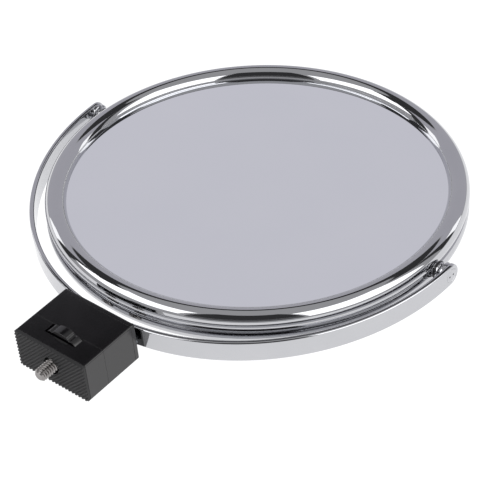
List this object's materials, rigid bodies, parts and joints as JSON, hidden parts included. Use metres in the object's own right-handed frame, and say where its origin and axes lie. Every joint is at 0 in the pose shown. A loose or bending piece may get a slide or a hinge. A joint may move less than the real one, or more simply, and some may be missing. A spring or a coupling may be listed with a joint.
{
  "type": "shaving mirror head",
  "caption": "Round two-sided shaving mirror in a chromed frame, tilting in a half-ring yoke on a black block with a thumbwheel-driven fastening stud.",
  "frame": {"origin": "on the fastening stud's axis, in the face of the block's ribbed pad", "axes": "+Y from the block towards the mirror, +X along the pivots, +Z out of the mirror's front"},
  "size_m": [0.2172, 0.249, 0.0274],
  "materials": {
    "chrome": "polished chromium plate",
    "mirror_glass": "silvered float glass",
    "black_plastic": "moulded, fine satin grain",
    "black_rubber": "ribbed, matt",
    "steel": "bright, threaded",
    "zinc_steel": "zinc plated",
    "brass": "turned",
    "white_plastic": "moulded"
  },
  "bodies": {
    "yoke": {"yoke_band": "chrome", "pivot_pin_left": "chrome", "pivot_pin_right": "chrome", "pivot_spacer_left": "chrome", "pivot_spacer_right": "chrome", "friction_washer_left": "black_plastic", "friction_washer_right": "black_plastic", "grip_pad": "black_rubber", "front_housing": "black_plastic", "rear_housing": "black_plastic", "back_plate": "black_plastic", "housing_screw_1": "zinc_steel", "housing_screw_2": "zinc_steel", "housing_screw_3": "zinc_steel", "housing_screw_4": "zinc_steel", "yoke_screw_left": "steel", "yoke_screw_right": "steel", "threaded_insert_left": "brass", "threaded_insert_right": "brass"},
    "mirror": {"front_bezel": "chrome", "rear_bezel": "chrome", "front_glass": "mirror_glass", "rear_glass": "mirror_glass", "glass_spacer_ring": "white_plastic", "rim_hoop": "zinc_steel", "pivot_socket_left": "chrome", "pivot_socket_right": "chrome"},
    "fastening_screw": {"threaded_stud": "steel", "thumbwheel": "black_plastic", "thrust_washer_front": "zinc_steel", "thrust_washer_rear": "zinc_steel", "retaining_ring": "zinc_steel"}
  },
  "joints": [
    {"name": "mirror_tilt", "type": "hinge", "parent": "yoke", "child": "mirror", "pos_m": [0, 0.14495, 0], "axis": [1, 0, 0], "continuous": true},
    {"name": "thumbwheel_turn", "type": "hinge", "parent": "yoke", "child": "fastening_screw", "pos_m": [0, 0.0105, 0], "axis": [0, 1, 0], "continuous": true}
  ]
}
